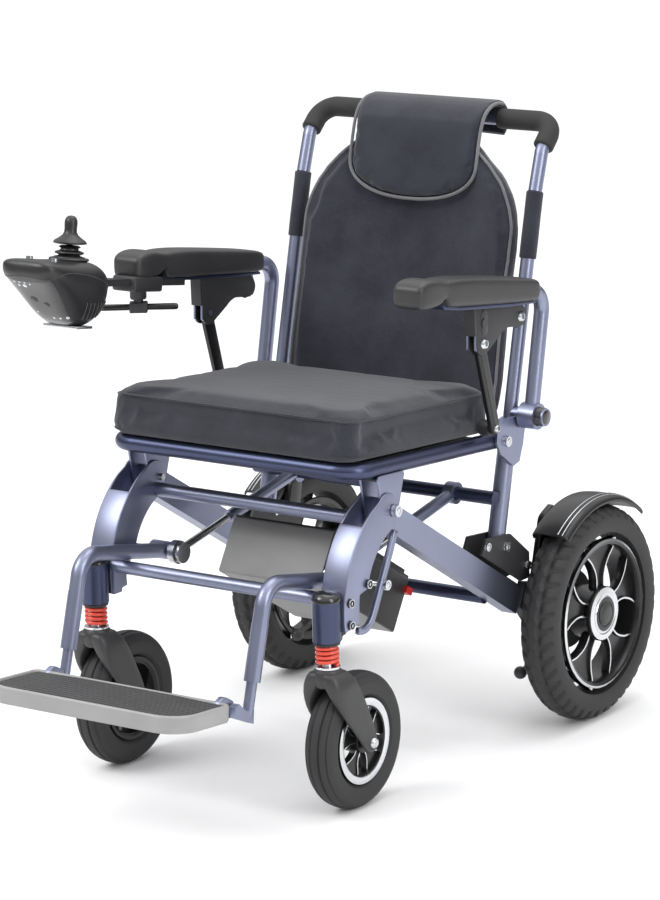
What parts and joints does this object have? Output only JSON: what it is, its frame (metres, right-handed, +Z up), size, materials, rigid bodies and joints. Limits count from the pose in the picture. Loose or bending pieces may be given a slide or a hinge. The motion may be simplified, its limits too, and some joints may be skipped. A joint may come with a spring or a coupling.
{
  "type": "power wheelchair",
  "caption": "Folding power wheelchair with slate-blue frame, padded seat and sling back, joystick, hub-motor drive wheels and sprung front casters.",
  "frame": {"origin": "centre of the bounding box on the floor", "axes": "+Z up, the chair faces -Y, +X towards the user's left side"},
  "size_m": [0.58, 1.05, 0.9],
  "materials": {
    "frame_paint": "satin",
    "stem_paint": "satin",
    "black_metal": "gloss",
    "bright_steel": "satin",
    "machined_rim": "machined",
    "tyre_rubber": "matt",
    "seat_fabric": "suede weave",
    "back_fabric": "ribbed weave",
    "grip_foam": "matt foam",
    "arm_pad_foam": "satin",
    "black_plastic": "matt",
    "pod_plastic": "gloss",
    "boot_rubber": "matt",
    "button_plastic": "satin",
    "tray_plastic": "satin",
    "red_plastic": "gloss",
    "spring_red": "gloss"
  },
  "bodies": {
    "chassis": {"seat_rail": "frame_paint", "seat_board": "black_plastic", "seat_cushion": "seat_fabric", "main_beam_left": "frame_paint", "main_beam_right": "frame_paint", "rear_struts": "frame_paint", "rear_cross_tubes": "frame_paint", "frame_brackets": "black_metal", "frame_bolts": "bright_steel", "battery_case": "tray_plastic", "hub_motors": "black_metal", "mudguards": "black_metal"},
    "battery_catch": {"battery_latch": "red_plastic"},
    "front_frame": {"front_leg_left": "frame_paint", "front_leg_right": "frame_paint", "front_cross_tube": "frame_paint", "front_crossbar": "frame_paint", "caster_stems": "stem_paint", "leg_bolts": "bright_steel", "legrest_hangers": "frame_paint"},
    "footrest": {"footrest_posts": "frame_paint"},
    "foot_tray": {"footplate": "tray_plastic"},
    "stay_outer": {"stay_tubes": "frame_paint"},
    "stay_inner": {"stay_rods": "bright_steel"},
    "backrest": {"back_canes": "frame_paint", "push_bar": "frame_paint", "push_grips": "grip_foam", "back_pad": "back_fabric", "headrest_flap": "back_fabric"},
    "joystick": {"joystick_mount": "black_metal", "joystick_pod": "pod_plastic"},
    "stick_gimbal": {"joystick_boot": "boot_rubber"},
    "stick": {"joystick_stick": "pod_plastic"},
    "clamp": {"clamp_screw": "black_metal"},
    "power_key": {"power_button": "button_plastic"},
    "horn_key": {"horn_button": "button_plastic"},
    "caster_lift_left": {"caster_spring_left": "spring_red"},
    "fork_left": {"caster_fork_left": "black_metal"},
    "front_wheel_left": {"caster_rim_left": "machined_rim", "caster_tyre_left": "tyre_rubber"},
    "drive_wheel_left": {"rear_rim_left": "machined_rim", "rear_tyre_left": "tyre_rubber"},
    "clutch_left": {"clutch_lever_left": "black_plastic"},
    "bush_left": {"armrest_bush_left": "black_plastic"},
    "arm_left": {"armrest_frame_left": "frame_paint", "armrest_pad_left": "arm_pad_foam"},
    "strut_left": {"armrest_strut_left": "black_plastic"},
    "latch_left": {"latch_button_left": "black_plastic"},
    "caster_lift_right": {"caster_spring_right": "spring_red"},
    "fork_right": {"caster_fork_right": "black_metal"},
    "front_wheel_right": {"caster_rim_right": "machined_rim", "caster_tyre_right": "tyre_rubber"},
    "drive_wheel_right": {"rear_rim_right": "machined_rim", "rear_tyre_right": "tyre_rubber"},
    "clutch_right": {"clutch_lever_right": "black_plastic"},
    "bush_right": {"armrest_bush_right": "black_plastic"},
    "arm_right": {"armrest_frame_right": "frame_paint", "armrest_pad_right": "arm_pad_foam"},
    "strut_right": {"armrest_strut_right": "black_plastic"},
    "latch_right": {"latch_button_right": "black_plastic"}
  },
  "joints": [
    {"name": "front_fold", "type": "hinge", "parent": "chassis", "child": "front_frame", "pos_m": [0, -0.082, 0.405], "axis": [1, 0, 0], "range_deg": [0, 36]},
    {"name": "battery_catch_pull", "type": "slide", "parent": "chassis", "child": "battery_catch", "axis": [0, 0.8551, -0.5184], "range_m": [0, 0.006], "stiffness_N_per_m": 400, "springref_m": -0.004},
    {"name": "stay_swing", "type": "hinge", "parent": "chassis", "child": "stay_outer", "pos_m": [0, 0.19, 0.362], "axis": [1, 0, 0], "range_deg": [0, 3]},
    {"name": "stay_slide", "type": "slide", "parent": "stay_outer", "child": "stay_inner", "axis": [0, 0.9818, 0.1897], "range_m": [0, 0.07]},
    {"name": "footrest_height", "type": "slide", "parent": "front_frame", "child": "footrest", "axis": [0, -0.2797, -0.9601], "range_m": [0, 0.03]},
    {"name": "footplate_flip", "type": "hinge", "parent": "footrest", "child": "foot_tray", "pos_m": [0, -0.374, 0.186], "axis": [-1, 0, 0], "range_deg": [0, 90]},
    {"name": "backrest_fold", "type": "hinge", "parent": "chassis", "child": "backrest", "pos_m": [0, 0.205, 0.444], "axis": [1, 0, 0], "range_deg": [0, 60], "deforming": ["seat_cushion"]},
    {"name": "joystick_slide", "type": "slide", "parent": "arm_right", "child": "joystick", "axis": [0, -0.9881, 0.1541], "range_m": [0, 0.05]},
    {"name": "joystick_pitch", "type": "hinge", "parent": "joystick", "child": "stick_gimbal", "pos_m": [-0.237, -0.2016, 0.723], "axis": [1, 0, 0], "range_deg": [-18, 18], "stiffness_Nm_per_rad": 0.6, "deforming": ["joystick_boot"]},
    {"name": "joystick_roll", "type": "hinge", "parent": "stick_gimbal", "child": "stick", "pos_m": [-0.237, -0.2016, 0.723], "axis": [0, 0.9881, -0.1541], "range_deg": [-18, 18], "stiffness_Nm_per_rad": 0.6, "deforming": ["joystick_boot"]},
    {"name": "clamp_screw_turn", "type": "hinge", "parent": "arm_right", "child": "clamp", "pos_m": [-0.237, -0.047, 0.64], "axis": [0, 0, 1], "range_deg": [-90, 90]},
    {"name": "power_press", "type": "slide", "parent": "joystick", "child": "power_key", "axis": [0, -0.1541, -0.9881], "range_m": [0, 0.0015], "stiffness_N_per_m": 400, "springref_m": -0.001},
    {"name": "horn_press", "type": "slide", "parent": "joystick", "child": "horn_key", "axis": [0, -0.1541, -0.9881], "range_m": [0, 0.0015], "stiffness_N_per_m": 400, "springref_m": -0.001},
    {"name": "caster_suspension_left", "type": "slide", "parent": "front_frame", "child": "caster_lift_left", "axis": [0, 0, 1], "range_m": [0, 0.012], "stiffness_N_per_m": 40000, "springref_m": -0.012, "deforming": ["caster_spring_left"]},
    {"name": "caster_swivel_left", "type": "hinge", "parent": "caster_lift_left", "child": "fork_left", "pos_m": [0.199, -0.217, 0.2], "axis": [0, 0, 1], "continuous": true},
    {"name": "caster_spin_left", "type": "hinge", "parent": "fork_left", "child": "front_wheel_left", "pos_m": [0.199, -0.16, 0.096], "axis": [1, 0, 0], "continuous": true},
    {"name": "drive_spin_left", "type": "hinge", "parent": "chassis", "child": "drive_wheel_left", "pos_m": [0.259, 0.365, 0.16], "axis": [1, 0, 0], "continuous": true},
    {"name": "clutch_turn_left", "type": "hinge", "parent": "chassis", "child": "clutch_left", "pos_m": [0.2, 0.33, 0.112], "axis": [1, 0, 0], "range_deg": [0, 30]},
    {"name": "armrest_level_left", "type": "hinge", "parent": "backrest", "child": "bush_left", "pos_m": [0.237, 0.247, 0.475], "axis": [1, 0, 0], "range_deg": [-60, 0]},
    {"name": "armrest_flip_left", "type": "hinge", "parent": "bush_left", "child": "arm_left", "pos_m": [0.237, 0.247, 0.475], "axis": [-1, 0, 0], "range_deg": [0, 90]},
    {"name": "armrest_strut_left", "type": "hinge", "parent": "arm_left", "child": "strut_left", "pos_m": [0.237, 0.11, 0.605], "axis": [1, 0, 0], "range_deg": [0, 32]},
    {"name": "latch_press_left", "type": "slide", "parent": "arm_left", "child": "latch_left", "axis": [-1, 0, 0], "range_m": [0, 0.003], "stiffness_N_per_m": 400, "springref_m": -0.001},
    {"name": "caster_suspension_right", "type": "slide", "parent": "front_frame", "child": "caster_lift_right", "axis": [0, 0, 1], "range_m": [0, 0.012], "stiffness_N_per_m": 40000, "springref_m": -0.012, "deforming": ["caster_spring_right"]},
    {"name": "caster_swivel_right", "type": "hinge", "parent": "caster_lift_right", "child": "fork_right", "pos_m": [-0.199, -0.217, 0.2], "axis": [0, 0, 1], "continuous": true},
    {"name": "caster_spin_right", "type": "hinge", "parent": "fork_right", "child": "front_wheel_right", "pos_m": [-0.199, -0.16, 0.096], "axis": [1, 0, 0], "continuous": true},
    {"name": "drive_spin_right", "type": "hinge", "parent": "chassis", "child": "drive_wheel_right", "pos_m": [-0.259, 0.365, 0.16], "axis": [1, 0, 0], "continuous": true},
    {"name": "clutch_turn_right", "type": "hinge", "parent": "chassis", "child": "clutch_right", "pos_m": [-0.2, 0.33, 0.112], "axis": [1, 0, 0], "range_deg": [0, 30]},
    {"name": "armrest_level_right", "type": "hinge", "parent": "backrest", "child": "bush_right", "pos_m": [-0.237, 0.247, 0.475], "axis": [1, 0, 0], "range_deg": [-60, 0]},
    {"name": "armrest_flip_right", "type": "hinge", "parent": "bush_right", "child": "arm_right", "pos_m": [-0.237, 0.247, 0.475], "axis": [-1, 0, 0], "range_deg": [0, 90]},
    {"name": "armrest_strut_right", "type": "hinge", "parent": "arm_right", "child": "strut_right", "pos_m": [-0.237, 0.11, 0.605], "axis": [1, 0, 0], "range_deg": [0, 32]},
    {"name": "latch_press_right", "type": "slide", "parent": "arm_right", "child": "latch_right", "axis": [1, 0, 0], "range_m": [0, 0.003], "stiffness_N_per_m": 400, "springref_m": -0.001}
  ],
  "couplings": [
    {"joint": "stay_swing", "follows": "front_fold", "ratio": 0.045},
    {"joint": "stay_slide", "follows": "front_fold", "m_per_rad": 0.10041},
    {"joint": "armrest_level_left", "follows": "backrest_fold", "ratio": -1},
    {"joint": "armrest_strut_left", "follows": "armrest_flip_left", "ratio": 0.35},
    {"joint": "armrest_level_right", "follows": "backrest_fold", "ratio": -1},
    {"joint": "armrest_strut_right", "follows": "armrest_flip_right", "ratio": 0.35}
  ]
}
